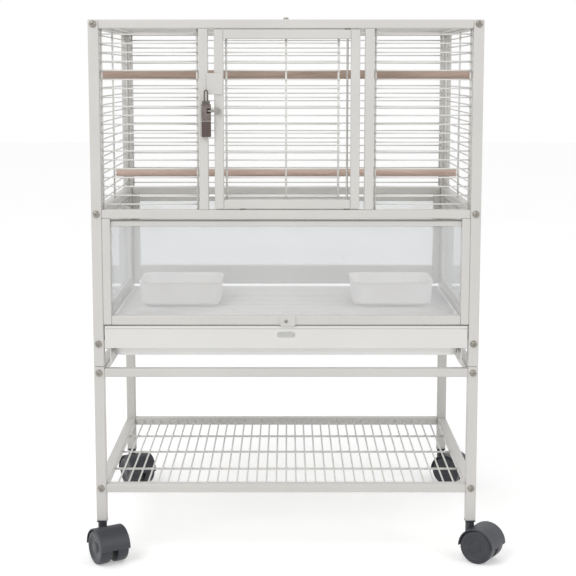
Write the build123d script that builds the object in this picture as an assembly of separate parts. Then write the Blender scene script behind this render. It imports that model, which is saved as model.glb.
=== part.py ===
from build123d import *
import math
import os

# A bird cage of wire over clear panels, on a wheeled stand with a wire shelf.
# Millimetres. +Z is up, the floor is zero, the front faces -Y and +X is the
# viewer's right. The origin is on the floor under the middle of the frame.

# Overall frame
cage_width = 560.0
cage_depth = 406.0
leg_end_height = 57.0
leg_length = 234.0
ledge_rise = 27.5
wire_section_height = 282.0
clear_section_height = 155.0

# Square tube, closed at its ends and so left solid
post_size = 15.0
tube_edge = 0.9
rail_height = 12.5

# Stand
stand_rail_drop = 3.0
shelf_height = 102.0
spigot_size = 12.4
spigot_length = 45.0
spigot_clearance = 0.1
spigot_end_gap = 1.0
shelf_wire_pitch = 14.7
shelf_wire_size = 2.6
shelf_stay_size = 3.4
shelf_stay_count = 3
shelf_stay_pitch = 95.5
shelf_edge_gap = 10.0

# Welded wire
wire_size = 2.0
upright_size = 3.0
wire_pitch = 12.7
wire_edge_gap = 6.0
wire_side_gap = 1.0

# Front of the wire section
door_post_width = 13.0
left_door_post_x = -124.0
right_door_post_x = 112.0
door_left_gap = 9.0
door_right_gap = 7.0
door_level_gap = 1.5
door_tube = 13.0
door_middle_upright_x = 0.0
door_hinge_inset = 17.8
door_wire_gap = 2.5
door_hinge_wire_gap = 11.1
hinge_rod_size = 3.0
hinge_running_clearance = 0.05
hinge_rod_reach = 3.0
hinge_rod_end_gap = 0.3
washer_size = 8.6
washer_running_gap = 0.3
door_rest_x = -62.0

# Latch
latch_height = 662.0
latch_body_width = 13.0
latch_body_length = 23.0
latch_body_depth = 10.0
latch_edge = 0.8
latch_overhang = 4.3
latch_notch_height = 7.0
latch_notch_depth = 8.0
latch_notch_reach = 5.5
latch_notch_foot = 10.3
latch_pin_size = 4.2
latch_pin_clearance = 0.4
latch_pin_end_gap = 0.7
latch_boss_size = 9.0
latch_boss_height = 6.4
latch_boss_inset = 4.5
gate_width = 11.0
gate_thickness = 2.0
gate_clearance = 0.1
gate_front_wall = 0.9
gate_travel = 8.0
gate_length = 10.0
gate_rest_gap = 0.4
gate_slot_foot = 3.0
pull_loop_height = 17.0
pull_loop_width = 6.5
pull_loop_wire = 2.0
latch_block_length = 22.7
latch_block_depth = 9.0
latch_block_gap = 0.3
stop_tab_length = 30.0
stop_tab_thickness = 1.5
stop_tab_bottom = 685.0
stop_tab_lap = 1.5
stop_tab_gap = 0.3

# Clear panels and their frames
panel_frame_width = 12.0
panel_frame_depth = 12.0
panel_bottom_rail = 13.5
rear_bottom_rail = 32.0
sheet_thickness = 3.0
sheet_groove_depth = 5.0
sheet_clearance = 0.2
sheet_top_gap = 4.3
edge_trim_height = 7.3
edge_trim_wall = 1.5

# Floor grille
ledge_width = 12.0
ledge_height = 12.0
ledge_drop = 7.0
ledge_sheet = 1.2
grille_rim_wire = 4.0
grille_wire = 2.4
grille_stay_size = 3.0
grille_stay_x = 90.0
grille_side_gap = 1.0
grille_end_gap = 2.0

# Tray
tray_top_gap = 3.0
tray_front_height = 31.5
tray_front_thickness = 3.0
tray_lip_depth = 6.0
tray_lip_thickness = 2.5
tray_side_gap = 1.5
tray_wall = 2.0
tray_deep_drop = 13.0
tray_deep_inset = 3.0
tray_rim_drop = 7.0
tray_seat_gap = 0.3
tray_rear_gap = 4.0
tray_corner = 14.0
finger_slot_width = 27.0
finger_slot_height = 9.0
finger_slot_drop = 11.5
finger_notch_gap = 2.5
runner_ledge = 10.0
runner_lip = 26.5
runner_sheet = 1.2

# Tray catch
catch_long_arm = 13.5
catch_short_arm = 8.3
catch_half_height = 7.6
catch_thickness = 1.6
catch_rise = 8.6
catch_face_gap = 0.3
catch_screw_size = 4.0
catch_screw_head = 7.0
catch_screw_height = 1.8
catch_screw_clearance = 0.1
catch_corner = 2.0

# Dishes
dish_width = 131.0
dish_depth = 108.0
dish_height = 41.0
dish_wall = 2.2
dish_corner = 20.0
dish_taper = 3.0
dish_rim = 1.5
dish_side_gap = 32.5
dish_offset_y = 20.0

# Perches: how far back, the height of the side wire that carries it, and its seat's depth
perch_size = 12.7
perch_overhang = 1.2
notch_clearance = 0.2
upper_perch_back = 75.0
upper_perch_level = 706.0
upper_perch_notch = 0.8
lower_perch_back = 265.0
lower_perch_level = 554.0
lower_perch_notch = 6.3

# Screws and bolts
bolt_size = 5.0
bolt_clearance = 0.1
bolt_head_size = 10.0
bolt_head_height = 2.8
bolt_reach = 4.0
bolt_end_gap = 0.5
bolt_head_taper = 18.0
roof_screw_head = 8.0
roof_screw_height = 3.0
roof_screw_reach = 5.0

# Flats cut on round pieces that repeat
wire_flats = 6
peg_flats = 12
corner_flats = 4
wheel_flats = 24

# Casters
wheel_size = 50.0
wheel_width = 18.0
wheel_spacing = 8.4
wheel_edge = 2.0
caster_trail = 20.0
hood_clearance = 0.8
hood_wall = 2.2
hood_end_reach = 0.8
hood_web = 7.0
hood_web_reach = 12.0
axle_size = 6.0
axle_reach = 13.5
axle_running_clearance = 0.05
axle_end_gap = 0.3
stem_size = 8.0
stem_running_clearance = 0.05
stem_floor = 0.6
stem_reach = 34.0
stem_end_gap = 1.0
collar_size = 13.0
collar_gap = 0.4
socket_flange = 1.5
socket_plug = 12.4
socket_length = 38.0
front_left_heading = -58.0
front_right_heading = -33.0
rear_left_heading = -58.0
rear_right_heading = -33.0

# Levels and planes that follow from the sizes above
joint_z = leg_end_height + leg_length
ledge_z = joint_z + ledge_rise
tray_top_z = ledge_z + tray_front_height
clear_bottom_z = tray_top_z + tray_top_gap
middle_rail_z = clear_bottom_z + clear_section_height
wire_bottom_z = middle_rail_z + rail_height
top_z = middle_rail_z + wire_section_height
roof_rail_z = top_z - rail_height
post_length = top_z - joint_z
stand_rail_z = joint_z - stand_rail_drop - rail_height
post_x = (cage_width - post_size) / 2
post_y = (cage_depth - post_size) / 2
bay_x = cage_width / 2 - post_size
bay_y = cage_depth / 2 - post_size
front_face_y = -cage_depth / 2
post_socket = spigot_size + 2 * spigot_clearance
corners = [(-post_x, -post_y), (post_x, -post_y), (-post_x, post_y), (post_x, post_y)]
corner_names = ["front_left", "front_right", "rear_left", "rear_right"]
upper_bolt_levels = [z + rail_height / 2 for z in (roof_rail_z, middle_rail_z, ledge_z)]
leg_bolt_levels = [z + rail_height / 2 for z in (stand_rail_z, shelf_height)]


def block(x, y, z):
    # A box between two limits on each axis.
    middle = [(low + high) / 2 for low, high in (x, y, z)]
    return Pos(*middle) * Box(*[high - low for low, high in (x, y, z)])


def bar(plane, width, height, length):
    # Square tube with its corners broken, seen along its length.
    section = chamfer(Rectangle(width, height).vertices(), tube_edge)
    return extrude(plane * section, amount=length / 2, both=True)


def flats(size, sides=wire_flats):
    # Round sections that repeat often are cut to a few flats.
    return RegularPolygon(size / 2, sides, major_radius=False)


def peg(size, low, high):
    # Small round pieces lie inside their circle, their bores outside it, so they turn freely.
    return Pos(0, 0, low) * extrude(RegularPolygon(size / 2, peg_flats), amount=high - low)


def bore(size, low, high):
    return Pos(0, 0, low) * extrude(flats(size, peg_flats), amount=high - low)


along_x = Rot(0, 90, 0)
along_y = Rot(-90, 0, 0)


def rounded(width, depth, corner):
    # A rectangle whose round corners are cut to a few flats.
    points = []
    for quarter, (x, y) in enumerate([(1, 1), (-1, 1), (-1, -1), (1, -1)]):
        for step in range(corner_flats + 1):
            turn = math.radians(90 * (quarter + step / corner_flats))
            point_x = x * (width / 2 - corner) + corner * math.cos(turn)
            point_y = y * (depth / 2 - corner) + corner * math.sin(turn)
            points.append((point_x, point_y))
    return make_face(Polyline(*points, close=True))


def bolt_bore(length):
    section = flats(bolt_size + 2 * bolt_clearance)
    return extrude(Plane.XZ * section, amount=length, both=True)


def cross_rail(y, z):
    return Pos(0, y, z + rail_height / 2) * bar(Plane.YZ, post_size, rail_height, 2 * bay_x)


def side_rail(x, z):
    rail = bar(Plane.XZ, post_size, rail_height, 2 * bay_y)
    for end in (-bay_y, bay_y):
        rail -= Pos(0, end, 0) * bolt_bore(bolt_reach + bolt_end_gap)
    return Pos(x, 0, z + rail_height / 2) * rail


def rail_ring(z):
    front = cross_rail(-post_y, z)
    rear = cross_rail(post_y, z)
    return [front, rear, side_rail(-post_x, z), side_rail(post_x, z)]


def wire(start, end, size):
    # Two flats face the mat's front and back, where crossing wires meet.
    start = Vector(*start)
    along = Vector(*end) - start
    section = Plane(origin=start, x_dir=Vector(0, 1, 0).cross(along), z_dir=along)
    return extrude(section * flats(size), amount=along.length)


def wire_mat(levels, line_ends, stays, stay_ends, line_size=wire_size, stay_size=upright_size):
    # Close lines in front of a few stays, drawn upright and facing -Y.
    y_line = -line_size / 2
    y_stay = stay_size / 2
    mat = []
    for z in levels:
        mat.append(wire((line_ends[0], y_line, z), (line_ends[1], y_line, z), line_size))
    for x in stays:
        mat.append(wire((x, y_stay, stay_ends[0]), (x, y_stay, stay_ends[1]), stay_size))
    return mat


def pitched(low, high, pitch, edge_gap):
    # Evenly pitched places, centred between two edges.
    gaps = int((high - low - 2 * edge_gap) / pitch)
    first = (low + high - gaps * pitch) / 2
    return [first + i * pitch for i in range(gaps + 1)]


def edge_stays(low, high, gap=wire_side_gap):
    inset = gap + upright_size / 2
    return [low + inset, high - inset]


def placed(place, shapes):
    return [place * shape for shape in shapes]


def save(name, shapes):
    shapes = shapes if isinstance(shapes, (list, tuple)) else [shapes]
    solids = [solid for shape in shapes for solid in shape.solids()]
    body = solids[0] if len(solids) == 1 else Compound(children=solids)
    body.label = name
    export_step(body, f"parts/{name}.step")


os.makedirs("parts", exist_ok=True)

# Corner posts, with a square socket below for the leg
post = Pos(0, 0, joint_z + post_length / 2) * bar(Plane.XY, post_size, post_size, post_length)
socket_top = joint_z + spigot_length + spigot_end_gap
half_socket = post_socket / 2
post -= block((-half_socket, half_socket), (-half_socket, half_socket), (joint_z, socket_top))
for level in upper_bolt_levels:
    post -= Pos(0, 0, level) * bolt_bore(cage_depth)
for name, (x, y) in zip(corner_names, corners):
    save(f"corner_post_{name}", Pos(x, y, 0) * post)

# Stand legs, swaged at the top to enter the posts and socketed below for the casters
leg_low = leg_end_height + socket_flange
leg_middle = (leg_low + joint_z) / 2
leg = Pos(0, 0, leg_middle) * bar(Plane.XY, post_size, post_size, joint_z - leg_low)
leg += Pos(0, 0, joint_z + spigot_length / 2) * Box(spigot_size, spigot_size, spigot_length)
plug_space = socket_plug / 2 + spigot_clearance
plug_top = leg_end_height + socket_length
leg -= block((-plug_space, plug_space), (-plug_space, plug_space), (leg_low, plug_top))
for level in leg_bolt_levels + upper_bolt_levels[-1:]:
    leg -= Pos(0, 0, level) * bolt_bore(cage_depth)
save("stand_legs", [Pos(x, y, 0) * leg for x, y in corners])

# Sockets pressed into the legs, bored for the caster stems
stem_top = leg_end_height + stem_reach
socket = Pos(0, 0, leg_end_height + socket_flange / 2) * Box(post_size, post_size, socket_flange)
half_plug = socket_plug / 2
socket += block((-half_plug, half_plug), (-half_plug, half_plug), (leg_end_height, plug_top))
socket_bore = stem_size + 2 * stem_running_clearance
socket -= bore(socket_bore, leg_end_height, stem_top + stem_end_gap)
save("leg_sockets", [Pos(x, y, 0) * socket for x, y in corners])

# Rails, drilled for the door's hinge rod
door_left_x = left_door_post_x + door_post_width + door_left_gap
door_right_x = right_door_post_x - door_right_gap
hinge_x = door_right_x - door_hinge_inset
hinge_bore = hinge_rod_size + 2 * hinge_running_clearance
bore_reach = hinge_rod_reach + hinge_rod_end_gap
hinge_low = wire_bottom_z - hinge_rod_reach
hinge_high = roof_rail_z + hinge_rod_reach
rod_space = Pos(hinge_x, -post_y, 0) * bore(hinge_bore, hinge_low, roof_rail_z + bore_reach)
roof_screw_space = Rot(90, 0, 0) * bolt_bore(roof_screw_reach + bolt_end_gap)
roof_rails = rail_ring(roof_rail_z)
roof_rails[0] -= rod_space
roof_rails[0] -= Pos(0, -post_y, top_z) * roof_screw_space
save("roof_frame", roof_rails)
middle_rails = rail_ring(middle_rail_z)
middle_rails[0] -= rod_space
save("middle_rails", middle_rails)
save("bottom_rails", rail_ring(ledge_z)[1:])
save("stand_rails", rail_ring(stand_rail_z))
save("shelf_frame", rail_ring(shelf_height))

# Inner posts either side of the door
door_post = bar(Plane.XY, door_post_width, post_size, roof_rail_z - wire_bottom_z)
door_post = Pos(door_post_width / 2, -post_y, (roof_rail_z + wire_bottom_z) / 2) * door_post
door_post_places = [Pos(left_door_post_x, 0, 0), Pos(right_door_post_x, 0, 0)]
save("door_posts", [place * door_post for place in door_post_places])

# Wire mats of the upper section
front_place = Pos(0, -post_y, 0)
rear_place = Pos(0, post_y, 0) * Rot(0, 0, 180)
left_place = Pos(-post_x, 0, 0) * Rot(0, 0, -90)
right_place = Pos(post_x, 0, 0) * Rot(0, 0, 90)
levels = pitched(wire_bottom_z, roof_rail_z, wire_pitch, wire_edge_gap)
wall_ends = (wire_bottom_z, roof_rail_z)
front_left_ends = (-bay_x, left_door_post_x)
front_right_ends = (right_door_post_x + door_post_width, bay_x)
front_left = wire_mat(levels, front_left_ends, edge_stays(*front_left_ends), wall_ends)
front_right = wire_mat(levels, front_right_ends, edge_stays(*front_right_ends), wall_ends)
save("front_left_wires", placed(front_place, front_left))
save("front_right_wires", placed(front_place, front_right))
rear_mat = wire_mat(levels, (-bay_x, bay_x), edge_stays(-bay_x, bay_x), wall_ends)
save("rear_wires", placed(rear_place, rear_mat))
side_stays = edge_stays(-bay_y, bay_y) + [0]
side_mat = wire_mat(levels, (-bay_y, bay_y), side_stays, wall_ends)
save("left_side_wires", placed(left_place, side_mat))
save("right_side_wires", placed(right_place, side_mat))
roof_lines = pitched(-bay_y, bay_y, wire_pitch, wire_edge_gap)
roof_stays = edge_stays(-bay_x, bay_x) + [0]
roof_place = Pos(0, 0, roof_rail_z + rail_height / 2) * Rot(-90, 0, 0)
roof_mat = wire_mat(roof_lines, (-bay_x, bay_x), roof_stays, (-bay_y, bay_y))
save("roof_wires", placed(roof_place, roof_mat))

# Shelf grille: cross wires from front to rear over long stays
shelf_lines = pitched(-bay_x, bay_x, shelf_wire_pitch, shelf_edge_gap)
first_stay = -shelf_stay_pitch * (shelf_stay_count - 1) / 2
shelf_stays = [first_stay + i * shelf_stay_pitch for i in range(shelf_stay_count)]
shelf_place = Pos(0, 0, shelf_height + rail_height / 2) * Rot(0, 0, 90) * Rot(-90, 0, 0)
shelf_mat = wire_mat(
    shelf_lines, (-bay_y, bay_y), shelf_stays, (-bay_x, bay_x), shelf_wire_size, shelf_stay_size
)
save("shelf_wires", placed(shelf_place, shelf_mat))

# Door frame, with the stop tab that laps the inner post
door_low = wire_bottom_z + door_level_gap
door_high = roof_rail_z - door_level_gap
door_y = (front_face_y, front_face_y + post_size)
door_frame = block((door_left_x, door_right_x), door_y, (door_low, door_high))
door_frame -= block(
    (door_left_x + door_tube, door_right_x - door_tube),
    door_y,
    (door_low + door_tube, door_high - door_tube),
)
door_frame = chamfer(door_frame.faces().filter_by(Axis.Y).edges(), tube_edge)
door_frame -= rod_space
tab_left = left_door_post_x + door_post_width - stop_tab_lap
tab_right = door_left_x + door_tube - tube_edge
tab_back = front_face_y - stop_tab_gap
tab_front = tab_back - stop_tab_thickness
tab_outline = Polyline(
    (tab_left, tab_back),
    (door_left_x, tab_back),
    (door_left_x + tube_edge, front_face_y),
    (tab_right, front_face_y),
    (tab_right, tab_front),
    (tab_left, tab_front),
    close=True,
)
tab = Pos(0, 0, stop_tab_bottom) * extrude(make_face(tab_outline), amount=stop_tab_length)
save("door_frame", door_frame + tab)

# Door wires, which stop short of the hinge rod
door_lines = pitched(door_low + door_tube, door_high - door_tube, wire_pitch, wire_edge_gap)
door_wire_left = door_left_x + door_tube + door_wire_gap
door_wire_right = hinge_x - door_hinge_wire_gap
door_line_ends = (door_wire_left, door_wire_right)
door_stays = edge_stays(door_wire_left, door_wire_right, 0) + [door_middle_upright_x]
door_stay_ends = (door_low + door_tube, door_high - door_tube)
door_mat = wire_mat(door_lines, door_line_ends, door_stays, door_stay_ends)
save("door_wires", placed(front_place, door_mat))

# Hinge rod
hinge_rod = peg(hinge_rod_size, hinge_low, hinge_high)
save("door_hinge_rod", Pos(hinge_x, -post_y, 0) * hinge_rod)

# Latch body on the inner post: a notch for the door's pin, crossed by a slot for the gate
latch_right = left_door_post_x + door_post_width + latch_overhang
latch_left = latch_right - latch_body_width
latch_front = front_face_y - latch_body_depth
notch = (
    (latch_right - latch_notch_reach, latch_right),
    (latch_front, latch_front + latch_notch_depth),
    (latch_height - latch_notch_height / 2, latch_height + latch_notch_height / 2),
)
latch_low = notch[2][0] - latch_notch_foot
latch_high = latch_low + latch_body_length
gate_middle = (latch_left + latch_right) / 2
gate_x = (gate_middle - gate_width / 2, gate_middle + gate_width / 2)
gate_y = (
    latch_front + gate_front_wall + gate_clearance,
    latch_front + gate_front_wall + gate_clearance + gate_thickness,
)
gate_space = (
    (gate_x[0] - gate_clearance, gate_x[1] + gate_clearance),
    (gate_y[0] - gate_clearance, gate_y[1] + gate_clearance),
    (notch[2][0] - gate_slot_foot, latch_high),
)
latch_body = block((latch_left, latch_right), (latch_front, front_face_y), (latch_low, latch_high))
latch_body = chamfer(latch_body.faces().sort_by(Axis.Y)[0].edges(), latch_edge)
latch_body -= block(*notch)
latch_body -= block(*gate_space)
lower_block_top = latch_low - latch_block_gap
lower_block = block(
    (latch_left, latch_right),
    (front_face_y - latch_block_depth, front_face_y),
    (lower_block_top - latch_block_length, lower_block_top),
)
lower_block = chamfer(lower_block.faces().sort_by(Axis.Y)[0].edges(), latch_edge)
save("latch_body", [latch_body, lower_block])

# Latch gate: a strip that drops in front of the pin, with a loop to lift it by
gate_low = notch[2][1] + gate_rest_gap
gate_high = gate_low + gate_length
gate = block(gate_x, gate_y, (gate_low, gate_high))
loop = SlotOverall(pull_loop_height, pull_loop_width, rotation=90)
loop -= SlotOverall(
    pull_loop_height - 2 * pull_loop_wire, pull_loop_width - 2 * pull_loop_wire, rotation=90
)
loop = extrude(Plane.XZ * loop, amount=gate_thickness / 2, both=True)
loop_z = gate_high + pull_loop_height / 2 - pull_loop_wire
gate += Pos(gate_middle, sum(gate_y) / 2, loop_z) * loop
save("latch_gate", gate)

# Latch pin on the door's stile
pin_y = notch[1][1] - latch_pin_clearance - latch_pin_size / 2
pin_left = notch[0][0] + latch_pin_end_gap
boss_x = door_left_x + latch_boss_inset
boss = along_y * peg(latch_boss_size, front_face_y - latch_boss_height, front_face_y)
latch_pin = Pos(boss_x, 0, latch_height) * boss
latch_pin += Pos(0, pin_y, latch_height) * along_x * peg(latch_pin_size, pin_left, boss_x)
save("door_latch_pin", latch_pin)

# Frames of the clear section: two grooved stiles and a grooved bottom rail
bottom = (Align.CENTER, Align.CENTER, Align.MIN)
stile_height = clear_section_height


def panel_frame(width, bottom_rail, depth):
    outline = Pos(0, stile_height / 2) * Rectangle(width, stile_height)
    opening = Rectangle(width - 2 * panel_frame_width, stile_height)
    section = outline - Pos(0, bottom_rail + stile_height / 2) * opening
    frame = extrude(Plane.XZ * section, amount=depth / 2, both=True)
    groove_width = width - 2 * panel_frame_width + 2 * sheet_groove_depth
    groove = Box(groove_width, sheet_thickness + 2 * sheet_clearance, stile_height, align=bottom)
    return frame - Pos(0, 0, bottom_rail - sheet_groove_depth) * groove


def panel_sheet(width, bottom_rail):
    reach = sheet_groove_depth - sheet_clearance
    sheet_width = width - 2 * panel_frame_width + 2 * reach
    low = bottom_rail - sheet_groove_depth
    high = stile_height - sheet_top_gap - edge_trim_wall
    sheet = Box(sheet_width, sheet_thickness, high - low, align=bottom)
    return Pos(0, 0, low) * sheet


def edge_trim(width):
    # A channel over the sheet's top edge.
    length = width - 2 * panel_frame_width
    section = Rectangle(sheet_thickness + 2 * edge_trim_wall, edge_trim_height)
    section -= Pos(0, -edge_trim_wall / 2) * Rectangle(
        sheet_thickness, edge_trim_height - edge_trim_wall
    )
    trim = extrude(Plane.YZ * section, amount=length / 2, both=True)
    return Pos(0, 0, stile_height - sheet_top_gap - edge_trim_height / 2) * trim


# The grille rests on a folded angle along each side frame
grille_seat = -ledge_drop
angle_low = grille_seat - ledge_sheet
angle_y = panel_frame_depth / 2
angle_outline = Polyline(
    (angle_y, angle_low),
    (angle_y + ledge_width, angle_low),
    (angle_y + ledge_width, grille_seat),
    (angle_y + ledge_sheet, grille_seat),
    (angle_y + ledge_sheet, angle_low + ledge_height),
    (angle_y, angle_low + ledge_height),
    close=True,
)
grille_angle = extrude(Plane.YZ * make_face(angle_outline), amount=bay_y, both=True)
up = Pos(0, 0, clear_bottom_z)
front_frame = panel_frame(2 * bay_x, panel_bottom_rail, post_size)
rear_frame = panel_frame(2 * bay_x, rear_bottom_rail, panel_frame_depth)
side_frame = panel_frame(2 * bay_y, panel_bottom_rail, panel_frame_depth)
catch_z = tray_top_z + catch_rise
screw_reach = front_face_y + bolt_reach + bolt_end_gap
screw_space = catch_screw_size + 2 * catch_screw_clearance
screw_bore = along_y * bore(screw_space, front_face_y, screw_reach)
front_frame = up * front_place * front_frame - Pos(0, 0, catch_z) * screw_bore
save("lower_frame_front", front_frame)
save("lower_frame_rear", up * rear_place * rear_frame)
save("lower_frame_left", placed(up * left_place, [side_frame, grille_angle]))
save("lower_frame_right", placed(up * right_place, [side_frame, grille_angle]))
front_sheet = panel_sheet(2 * bay_x, panel_bottom_rail)
side_sheet = panel_sheet(2 * bay_y, panel_bottom_rail)
save("front_acrylic_sheet", up * front_place * front_sheet)
save("rear_acrylic_sheet", up * rear_place * panel_sheet(2 * bay_x, rear_bottom_rail))
save("left_acrylic_sheet", up * left_place * side_sheet)
save("right_acrylic_sheet", up * right_place * side_sheet)
wide_trims = placed(up, [front_place * edge_trim(2 * bay_x), rear_place * edge_trim(2 * bay_x)])
deep_trims = placed(up, [left_place * edge_trim(2 * bay_y), right_place * edge_trim(2 * bay_y)])
save("sheet_edge_trims", wide_trims + deep_trims)

# Floor grille: a rim of thick wire, close cross wires and two stays beneath
grille_z = clear_bottom_z + grille_seat + grille_rim_wire / 2
rim_x = bay_x - grille_side_gap - grille_rim_wire / 2
rim_y = bay_y - grille_end_gap - grille_rim_wire / 2
rim_outline = Rectangle(2 * rim_x + grille_rim_wire, 2 * rim_y + grille_rim_wire)
rim_outline -= Rectangle(2 * rim_x - grille_rim_wire, 2 * rim_y - grille_rim_wire)
rim = extrude(rim_outline, amount=grille_rim_wire / 2, both=True)
inner_x = rim_x - grille_rim_wire / 2
inner_y = rim_y - grille_rim_wire / 2
grille_lines = pitched(-inner_y, inner_y, wire_pitch, wire_edge_gap)
grille_stays = (-grille_stay_x, grille_stay_x)
grille_mat = wire_mat(
    grille_lines,
    (-inner_x, inner_x),
    grille_stays,
    (-inner_y, inner_y),
    grille_wire,
    grille_stay_size,
)
grille_place = Pos(0, 0, grille_z - grille_wire / 2) * Rot(-90, 0, 0)
save("floor_grille", [Pos(0, 0, grille_z) * rim] + placed(grille_place, grille_mat))

# Tray runners: folded strips on the side rails, with a ledge and a deep lip
runner_front = front_face_y + tray_front_thickness
ledge_under = ledge_z - runner_sheet
lip_x = bay_x - runner_ledge
runner_outline = Polyline(
    (bay_x, ledge_z + rail_height),
    (bay_x, ledge_under),
    (lip_x + runner_sheet, ledge_under),
    (lip_x + runner_sheet, ledge_z - runner_lip),
    (lip_x, ledge_z - runner_lip),
    (lip_x, ledge_z),
    (bay_x - runner_sheet, ledge_z),
    (bay_x - runner_sheet, ledge_z + rail_height),
    close=True,
)
runner = extrude(Plane.XZ * make_face(runner_outline), amount=runner_front - bay_y)
right_runner = Pos(0, runner_front, 0) * runner
save("tray_runners", [right_runner.mirror(Plane.YZ), right_runner])

# Tray pan: a shallow rim that rides on the ledges and a deeper floor between the lips
pan_half = bay_x - runner_sheet - tray_side_gap
pan_y = (runner_front, bay_y - tray_rear_gap)
pan_length = pan_y[1] - pan_y[0]
step_z = ledge_z + tray_seat_gap
floor_z = step_z - tray_deep_drop
rim_z = tray_top_z - tray_rim_drop
deep_inset = pan_half - lip_x + tray_deep_inset


def pan_level(inset, z_low, z_high):
    width = 2 * (pan_half - inset)
    length = pan_length - 2 * inset
    level = rounded(width, length, tray_corner)
    return Pos(0, sum(pan_y) / 2, z_low) * extrude(level, amount=z_high - z_low)


pan = pan_level(0, step_z, rim_z) + pan_level(deep_inset, floor_z, step_z)
pan -= pan_level(tray_wall, step_z + tray_wall, rim_z)
pan -= pan_level(deep_inset + tray_wall, floor_z + tray_wall, step_z + tray_wall)

# Tray front: a folded plate with a finger slot, and a notch in the pan's rim behind it
slot_z = tray_top_z - finger_slot_drop
notch_half = finger_slot_width / 2 + finger_notch_gap
notch_floor = slot_z - finger_slot_height / 2 - finger_notch_gap
pan -= block((-notch_half, notch_half), (runner_front, runner_front + tray_wall), (notch_floor, rim_z))
save("tray_pan", pan)
front_half = bay_x - tray_side_gap
tray_front = block((-front_half, front_half), (front_face_y, runner_front), (ledge_z, tray_top_z))
tray_front += block(
    (-front_half, front_half),
    (front_face_y, front_face_y + tray_lip_depth),
    (tray_top_z - tray_lip_thickness, tray_top_z),
)
finger_slot = Plane.XZ * SlotOverall(finger_slot_width, finger_slot_height)
finger_slot = extrude(finger_slot, amount=tray_front_thickness, both=True)
tray_front -= Pos(0, front_face_y, slot_z) * finger_slot
save("tray_front", tray_front)

# Tray catch: a plate that turns on a screw and drops over the tray front
catch_back = front_face_y - catch_face_gap
catch_front = catch_back - catch_thickness
catch_plate = block(
    (-catch_short_arm, catch_long_arm),
    (catch_front, catch_back),
    (-catch_half_height, catch_half_height),
)
catch_plate = chamfer(catch_plate.edges().filter_by(Axis.Y), catch_corner)
catch_plate -= along_y * bore(screw_space, catch_front, catch_back)
save("tray_catch", Pos(0, 0, catch_z) * catch_plate)


# Dishes: open, rounded and a little tapered
def dish_form(inset, low):
    # Drawn at the top, with sides that lean in downwards.
    shrink = 2 * (dish_rim + inset)
    outline = rounded(dish_width - shrink, dish_depth - shrink, dish_corner - shrink / 2)
    form = Pos(0, 0, low) * extrude(outline, amount=dish_height - low)
    ends = form.faces().sort_by(Axis.Z)
    slope = math.degrees(math.atan(dish_taper / dish_height))
    return draft(ends[1:-1], neutral_plane=Plane.XY.offset(dish_height), angle=-slope)


dish_lip = extrude(rounded(dish_width, dish_depth, dish_corner), amount=dish_wall)
dish = dish_form(0, 0) + Pos(0, 0, dish_height - dish_wall) * dish_lip
dish -= dish_form(dish_wall, dish_wall)
dish_x = bay_x - dish_side_gap - dish_width / 2
dish_z = grille_z + grille_wire / 2
save("left_dish", Pos(-dish_x, dish_offset_y, dish_z) * dish)
save("right_dish", Pos(dish_x, dish_offset_y, dish_z) * dish)


# Perches, notched at both ends to straddle the side wires
wire_crest = wire_size / 2 / math.cos(math.pi / wire_flats)


def perch(back, level, notch):
    seat = min(levels, key=lambda z: abs(z - level))
    middle_z = seat + wire_crest - notch + perch_size / 2
    half_length = post_x + wire_size + perch_overhang
    dowel = Cylinder(perch_size / 2, 2 * half_length)
    rod = Pos(0, 0, middle_z) * along_x * dowel
    notch_x = post_x - notch_clearance
    for z in levels:
        if abs(z - middle_z) > perch_size / 2 + wire_crest:
            continue
        span = (z - wire_crest - notch_clearance, z + wire_crest)
        rod -= block((notch_x, half_length), (-perch_size, perch_size), span)
        rod -= block((-half_length, -notch_x), (-perch_size, perch_size), span)
    return Pos(0, front_face_y + back, 0) * rod


save("upper_perch", perch(upper_perch_back, upper_perch_level, upper_perch_notch))
save("lower_perch", perch(lower_perch_back, lower_perch_level, lower_perch_notch))


# Fasteners: frame bolts front and rear, the two screws, the hinge washers and a rest pad
def bolt(head, head_height, reach):
    cap = extrude(Plane.XZ * flats(head), amount=head_height, taper=bolt_head_taper)
    return cap + extrude(Plane.XZ * flats(bolt_size), amount=-reach)


frame_bolt = bolt(bolt_head_size, bolt_head_height, post_size + bolt_reach)
fasteners = []
for z in upper_bolt_levels + leg_bolt_levels:
    for x in (-post_x, post_x):
        fasteners.append(Pos(x, front_face_y, z) * frame_bolt)
        fasteners.append(Pos(x, -front_face_y, z) * Rot(0, 0, 180) * frame_bolt)
roof_screw = Rot(-90, 0, 0) * bolt(roof_screw_head, roof_screw_height, roof_screw_reach)
fasteners.append(Pos(0, -post_y, top_z) * roof_screw)
screw_head_y = (catch_front - catch_face_gap - catch_screw_height, catch_front - catch_face_gap)
catch_screw = peg(catch_screw_head, *screw_head_y)
catch_screw += peg(catch_screw_size, screw_head_y[1], front_face_y + bolt_reach)
fasteners.append(Pos(0, 0, catch_z) * along_y * catch_screw)
washer_height = door_level_gap - washer_running_gap
washer = peg(washer_size, 0, washer_height) - bore(hinge_bore, 0, washer_height)
fasteners.append(Pos(hinge_x, -post_y, wire_bottom_z) * washer)
fasteners.append(Pos(hinge_x, -post_y, roof_rail_z - washer_height) * washer)
fasteners.append(Pos(door_rest_x, -post_y, wire_bottom_z) * peg(washer_size, 0, washer_height))
save("fasteners", fasteners)

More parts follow.
